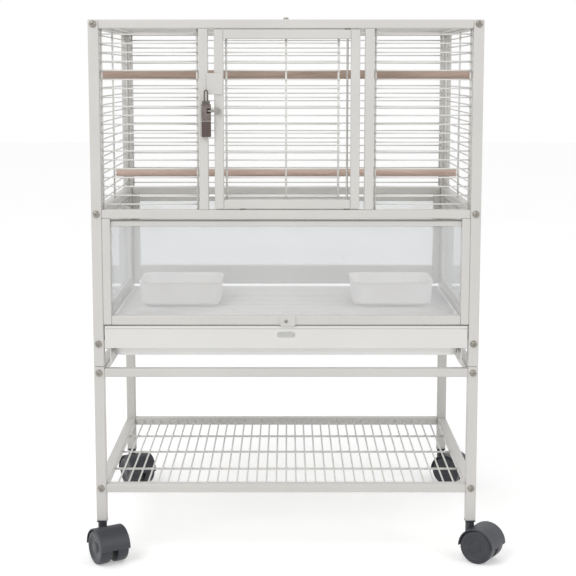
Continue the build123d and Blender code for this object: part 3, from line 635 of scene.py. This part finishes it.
back = bmesh.ops.extrude_face_region(plate, geom=list(plate.faces))["geom"]
inner_face = [v for v in back if isinstance(v, bmesh.types.BMVert)]
bmesh.ops.translate(plate, vec=(0, front_sheet, 0), verts=inner_face)
tube(plate, (-front_wide / 2, front_wide / 2), (front_y, -197), (347.5, 351.2), edge=1.0)
piece("tray_front_plate", plate, tray_coat, "tray", "tray_paint", "tray_front")


# Tray catch: a small stamped steel plate in the frame's coat, held by one screw on the
# front panel's lower rail. It turns down over the tray's front to hold the tray in.
refinish("tray_catch", frame_coat)


# Dishes: two vacuum-formed tubs of milky plastic with rolled rims, set on the grille.
milk, taken, given = effect(
    "milky_plastic",
    [("Colour", "Color", (0.9, 0.9, 0.9, 1)), ("Mottle", "Float", 30.0), ("Gloss", "Float", 0.25),
     ("Depth", "Float", 0.1)],
    [("Colour", "Color"), ("Roughness", "Float"), ("Normal", "Vector")],
)
where = step(milk, "ShaderNodeTexCoord", {}).outputs["Object"]
mottle = step(
    milk, "ShaderNodeTexNoise", {"Vector": where, "Scale": taken.outputs["Mottle"], "Detail": 4.0}
)
grit = step(milk, "ShaderNodeTexNoise", {"Vector": where, "Scale": 1100.0, "Detail": 2.0})
level = step(
    milk, "ShaderNodeMapRange",
    {"Value": mottle.outputs["Fac"], "From Min": 0.3, "From Max": 0.7, "To Min": 0.96, "To Max": 1.03},
)
toned = step(
    milk, "ShaderNodeHueSaturation", {"Value": level.outputs["Result"], "Color": taken.outputs["Colour"]}
)
rough = step(
    milk, "ShaderNodeMath", {0: mottle.outputs["Fac"], 1: 0.25, 2: taken.outputs["Gloss"]},
    operation="MULTIPLY_ADD",
)
skin = step(
    milk, "ShaderNodeBump",
    {"Strength": taken.outputs["Depth"], "Distance": 0.0003, "Height": grit.outputs["Fac"]},
)
milk.links.new(toned.outputs["Color"], given.inputs["Colour"])
milk.links.new(rough.outputs[0], given.inputs["Roughness"])
milk.links.new(skin.outputs["Normal"], given.inputs["Normal"])
dish_plastic = finish(
    "dish_plastic", milk, {"Colour": colour(243, 242, 239), "Mottle": 26.0, "Gloss": 0.2, "Depth": 0.1},
    Subsurface_Weight=0.25, Subsurface_Scale=0.004,
)

dish_x, dish_y, dish_z, foot_wide, foot_deep = 167, 20, 349.2, 122, 99
for side, middle_x in (("left", -dish_x), ("right", dish_x)):
    tub = bmesh.new()
    foot = bmesh.ops.create_grid(tub, x_segments=1, y_segments=1, size=0.5)["verts"]
    bmesh.ops.scale(tub, vec=(foot_wide, foot_deep, 1), verts=foot)
    bmesh.ops.bevel(
        tub, geom=foot, offset=15, offset_type="OFFSET", segments=8, profile=0.5,
        affect="VERTICES", material=-1,
    )
    bmesh.ops.inset_region(tub, faces=list(tub.faces), thickness=6, use_even_offset=True)
    rim = [line for line in tub.edges if line.is_boundary]
    for v in tub.verts:
        v.co.z = 0 if not any(line.is_boundary for line in v.link_edges) else 2.2
    for grow, rise in ((1.0, 2.2), (1.9, 34.4), (1.5, 0.6), (0.1, 1.4), (-0.6, 0.2)):
        folded = bmesh.ops.extrude_edge_only(tub, edges=rim)["geom"]
        raised = [v for v in folded if isinstance(v, bmesh.types.BMVert)]
        rim = [line for line in folded if isinstance(line, bmesh.types.BMEdge)]
        for v in raised:
            v.co.x *= 1 + grow / 62
            v.co.y *= 1 + grow / 50
            v.co.z += rise
    for v in tub.verts:
        v.co += Vector((middle_x, dish_y, dish_z))
    bmesh.ops.recalc_face_normals(tub, faces=list(tub.faces))
    for face in tub.faces:
        face.smooth = True
    dish = piece(
        f"{side}_food_dish", tub, dish_plastic, f"{side}_dish", "dish_plastic", f"{side}_dish"
    )
    wall = dish.modifiers.new("wall", "SOLIDIFY")
    wall.thickness = 0.0022
    wall.offset = -1
    smooth = dish.modifiers.new("moulding", "SUBSURF")
    smooth.levels = smooth.render_levels = 2


# Perches: plain turned wooden dowels laid from side to side, each end notched round
# the side wires that it rests on. The stubs past the notches show outside the wires.
wood, taken, given = effect(
    "turned_wood",
    [("Pale", "Color", (0.6, 0.5, 0.4, 1)), ("Dark", "Color", (0.4, 0.3, 0.2, 1)),
     ("Grain", "Float", 60.0)],
    [("Colour", "Color"), ("Roughness", "Float"), ("Normal", "Vector")],
)
where = step(wood, "ShaderNodeTexCoord", {}).outputs["Object"]
stretched = step(wood, "ShaderNodeMapping", {"Vector": where, "Scale": (0.06, 1, 1)})
along = stretched.outputs["Vector"]
lines = step(
    wood, "ShaderNodeTexNoise",
    {"Vector": along, "Scale": taken.outputs["Grain"], "Detail": 6.0, "Roughness": 0.6, "Distortion": 0.6},
)
pores = step(wood, "ShaderNodeTexNoise", {"Vector": along, "Scale": 1400.0, "Detail": 2.0})
band = step(wood, "ShaderNodeMapRange", {"Value": lines.outputs["Fac"], "From Min": 0.35, "From Max": 0.68})
speck = step(
    wood, "ShaderNodeMapRange",
    {"Value": pores.outputs["Fac"], "From Min": 0.58, "From Max": 0.75, "To Max": 0.5},
)
both = step(
    wood, "ShaderNodeMath", {0: band.outputs["Result"], 1: speck.outputs["Result"]}, operation="MAXIMUM"
)
toned = step(
    wood, "ShaderNodeMix", {0: both.outputs[0], 6: taken.outputs["Pale"], 7: taken.outputs["Dark"]},
    data_type="RGBA",
)
rough = step(wood, "ShaderNodeMapRange", {"Value": both.outputs[0], "To Min": 0.5, "To Max": 0.72})
skin = step(wood, "ShaderNodeBump", {"Strength": 0.35, "Distance": 0.0004, "Height": both.outputs[0]})
wood.links.new(toned.outputs[2], given.inputs["Colour"])
wood.links.new(rough.outputs["Result"], given.inputs["Roughness"])
wood.links.new(skin.outputs["Normal"], given.inputs["Normal"])

notch_x, end_x, perch_radius, end_edge = 272.3, 275.7, 6.35, 0.8
for name, y, z, above, below, pale, dark in (
    ("upper", -128, 712.85, (707.3,), (), colour(196, 174, 160), colour(160, 136, 122)),
    ("lower", 62, 554.95, (554.9,), (552.4,), colour(214, 190, 178), colour(184, 158, 144)),
):
    wood_tone = finish(f"{name}_perch_wood", wood, {"Pale": pale, "Dark": dark, "Grain": 110.0})
    dowel = bmesh.new()
    lay = Matrix.Translation((0, y, z)) @ Matrix.Rotation(math.radians(90), 4, "Y")
    shaft = [(0, -notch_x), (perch_radius, -notch_x), (perch_radius, notch_x), (0, notch_x)]
    lathe(dowel, shaft, lay, sides=32)
    for tip in (-1, 1):
        outline = [
            (0, tip * notch_x), (perch_radius, tip * notch_x), (perch_radius, tip * (end_x - end_edge)),
            (5.6, tip * end_x), (0, tip * end_x),
        ]
        for keep_above, cut in [(True, z_cut) for z_cut in above] + [(False, z_cut) for z_cut in below]:
            stub = bmesh.new()
            lathe(stub, outline, lay, sides=32)
            everything = list(stub.verts) + list(stub.edges) + list(stub.faces)
            cut_edge = bmesh.ops.bisect_plane(
                stub, geom=everything, plane_co=(0, 0, cut), plane_no=(0, 0, 1),
                clear_inner=keep_above, clear_outer=not keep_above,
            )["geom_cut"]
            open_edge = [line for line in cut_edge if isinstance(line, bmesh.types.BMEdge)]
            bmesh.ops.edgeloop_fill(stub, edges=open_edge)
            spare = bpy.data.meshes.new("perch_stub")
            stub.to_mesh(spare)
            stub.free()
            dowel.from_mesh(spare)
            bpy.data.meshes.remove(spare)
    piece(f"{name}_perch_dowel", dowel, wood_tone, "frame", "perch_wood", f"{name}_perch")


# Bolts: domed heads with a driver recess, dark zinc plated, through each post into the
# side rails; a screw on the front roof rail and one in the tray catch; two washers on
# the hinge rod, and a rest pad under the door's free side.
dark_zinc = finish(
    "dark_zinc", metal,
    {"Colour": colour(150, 146, 138), "Grain": 900.0, "Wear": 0.35, "Polish": 0.22}, Metallic=0.9,
)


def head(mesh, place, radius, height):
    """A domed head with a round recess, standing on the face that place gives."""
    outline = [
        (0, height * 0.45), (radius * 0.34, height * 0.45), (radius * 0.38, height * 0.97),
        (radius * 0.5, height), (radius * 0.78, height * 0.8), (radius * 0.96, height * 0.42), (radius, 0),
    ]
    lathe(mesh, outline, place, sides=20)


to_front = Matrix.Rotation(math.radians(90), 4, "X")
to_rear = Matrix.Rotation(math.radians(-90), 4, "X")
bolt_radius, bolt_height, washer_thick, pad_x = 5, 2.8, 1.2, -62
catch_y, catch_z = -205.2, 358.6
fixings = bmesh.new()
for z in rail_centres:
    for x in (-post_x, post_x):
        for y, facing in ((front_y, to_front), (rear_y, to_rear)):
            head(fixings, Matrix.Translation((x, y, z)) @ facing, bolt_radius, bolt_height)
head(fixings, Matrix.Translation((0, -post_y, top_z)), 4, 3)
head(fixings, Matrix.Translation((0, catch_y, catch_z)) @ to_front, 2.5, 1.6)
shank = Matrix.Translation((0, catch_y - 0.1, catch_z)) @ to_rear
lathe(fixings, [(0, 0), (2, 0), (2, 5), (0, 5)], shank, sides=14)
for low in (wall_z[0], roof_z - washer_thick):
    high = low + washer_thick
    washer = [(1.6, low), (4.1, low), (4.3, low + 0.2), (4.3, high - 0.2), (4.1, high), (1.6, high)]
    lathe(fixings, washer, hinge_axis, sides=20)
low, high = wall_z[0], wall_z[0] + washer_thick
pad = [(0, low), (4.1, low), (4.3, low + 0.2), (4.3, high - 0.3), (3.9, high), (0, high)]
lathe(fixings, pad, Matrix.Translation((pad_x, -post_y, 0)), sides=20)
piece("bolts_and_screws", fixings, dark_zinc, "frame", "dark_zinc", "fasteners")


# Casters: twin wheels under a moulded hood, each on a steel stem pressed up into the
# leg's socket, so that it swivels; all in dark grey plastic.
caster_plastic = finish(
    "caster_plastic", milk, {"Colour": colour(56, 58, 64), "Mottle": 60.0, "Gloss": 0.3, "Depth": 0.5}
)
wheel_plastic = finish(
    "wheel_plastic", milk, {"Colour": colour(49, 51, 57), "Mottle": 80.0, "Gloss": 0.24, "Depth": 0.35}
)
refinish("leg_sockets", caster_plastic)
wheel_radius, trail = 25, 20
axle_turn = Matrix.Translation((trail, 0, wheel_radius)) @ to_rear
half_turn = axle_turn @ Matrix.Rotation(math.radians(180), 4, "Z")
headings = (-58, -33, -58, -33)
hood_outline = [
    (25.8, -22.8), (26.2, -23), (27.2, -23), (28, -22.2), (28, 22.2), (27.2, 23), (26.2, 23),
    (25.8, 22.8), (25.8, -22.8),
]
web_outline = [(0, -3.5), (27.6, -3.5), (27.6, 3.5), (0, 3.5)]
boss_outline = [(0, -3.5), (11.4, -3.5), (12, -2.9), (12, 2.9), (11.4, 3.5), (0, 3.5)]
collar_outline = [(0, 26), (6.5, 26), (6.5, 55.8), (5.7, 56.6), (0, 56.6)]
wheel_outline = [
    (3.1, 4.2), (21, 4.2), (23.6, 4.6), (24.7, 5.6), (wheel_radius, 7), (wheel_radius, 19.4),
    (24.7, 20.8), (23.8, 21.8),
    (22.4, 22.2), (18.4, 22.2), (17.8, 21.9), (17.2, 21.4), (8.6, 21.2), (8.0, 21.9), (7.4, 22.1),
    (0, 22.1),
]
for name, heading, (x, y) in zip(corner_names, headings, corners):
    stand = Matrix.Translation((x, y, 0)) @ Matrix.Rotation(math.radians(heading), 4, "Z")
    refinish(f"{name}_caster_pins", plain_steel)
    hood = bmesh.new()
    lathe(hood, hood_outline, stand @ half_turn, sides=28, turn=180)
    lathe(hood, web_outline, stand @ half_turn, sides=28, turn=180)
    lathe(hood, boss_outline, stand @ axle_turn, sides=28)
    lathe(hood, collar_outline, stand, sides=24)
    piece(
        f"{name}_hood", hood, caster_plastic, f"{name}_caster", "caster_plastic",
        f"{name}_caster_hood",
    )
    for letter, side in (("a", 1), ("b", -1)):
        wheel = bmesh.new()
        outline = [(radius, side * along) for radius, along in wheel_outline]
        lathe(wheel, outline, stand @ axle_turn, sides=48)
        node = f"{name}_wheel_{letter}"
        piece(f"{node}_tyre", wheel, wheel_plastic, node, "wheel_plastic", node)


# Floor and light: a pale sweep, an even white surround and one broad soft lamp from
# the upper left, with a weaker one from the right.
ground = bmesh.new()
bmesh.ops.create_grid(ground, x_segments=1, y_segments=1, size=12)
ground_mesh = bpy.data.meshes.new("studio_floor")
ground.to_mesh(ground_mesh)
ground.free()
floor = bpy.data.objects.new("studio_floor", ground_mesh)
scene.collection.objects.link(floor)
pale = bpy.data.materials.new("pale_sweep")
pale.use_nodes = True
tree = pale.node_tree
shell = tree.nodes["Principled BSDF"]
where = step(tree, "ShaderNodeTexCoord", {}).outputs["Object"]
mist = step(tree, "ShaderNodeTexNoise", {"Vector": where, "Scale": 3.0, "Detail": 3.0})
tone = step(tree, "ShaderNodeMapRange", {"Value": mist.outputs["Fac"], "To Min": 0.9, "To Max": 0.94})
tree.links.new(tone.outputs["Result"], shell.inputs["Base Color"])
shell.inputs["Roughness"].default_value = 0.9
shell.inputs["Specular IOR Level"].default_value = 0.1
shell.inputs["Emission Color"].default_value = (1, 1, 1, 1)


def seen_directly(tree):
    """One where a ray comes from the camera, a mirror or through clear sheet."""
    path = step(tree, "ShaderNodeLightPath", {})
    seen = path.outputs["Is Camera Ray"]
    for other in ("Is Glossy Ray", "Is Transmission Ray"):
        both = step(tree, "ShaderNodeMath", {0: seen, 1: path.outputs[other]}, operation="MAXIMUM")
        seen = both.outputs[0]
    return seen


glow = step(tree, "ShaderNodeMath", {0: seen_directly(tree), 1: 0.3}, operation="MULTIPLY")
tree.links.new(glow.outputs[0], shell.inputs["Emission Strength"])
ground_mesh.materials.append(pale)

world = bpy.data.worlds.new("studio")
world.use_nodes = True
scene.world = world
around = world.node_tree
strength = step(
    around, "ShaderNodeMapRange", {"Value": seen_directly(around), "To Min": 0.72, "To Max": 1.0}
)
around.links.new(strength.outputs["Result"], around.nodes["Background"].inputs["Strength"])
around.nodes["Background"].inputs["Color"].default_value = (1, 1, 1, 1)

aim = Vector((0, 0, 0.42))
for name, place, size, power in (
    ("key_lamp", (-1.6, -2.2, 2.6), 1.6, 34), ("side_lamp", (2.2, -1.4, 1.6), 1.4, 12)
):
    lamp = bpy.data.lights.new(name, "AREA")
    lamp.size = size
    lamp.energy = power
    hung = bpy.data.objects.new(name, lamp)
    hung.location = place
    hung.rotation_euler = (aim - Vector(place)).to_track_quat("-Z", "Y").to_euler()
    scene.collection.objects.link(hung)

scene.view_settings.view_transform = "Standard"
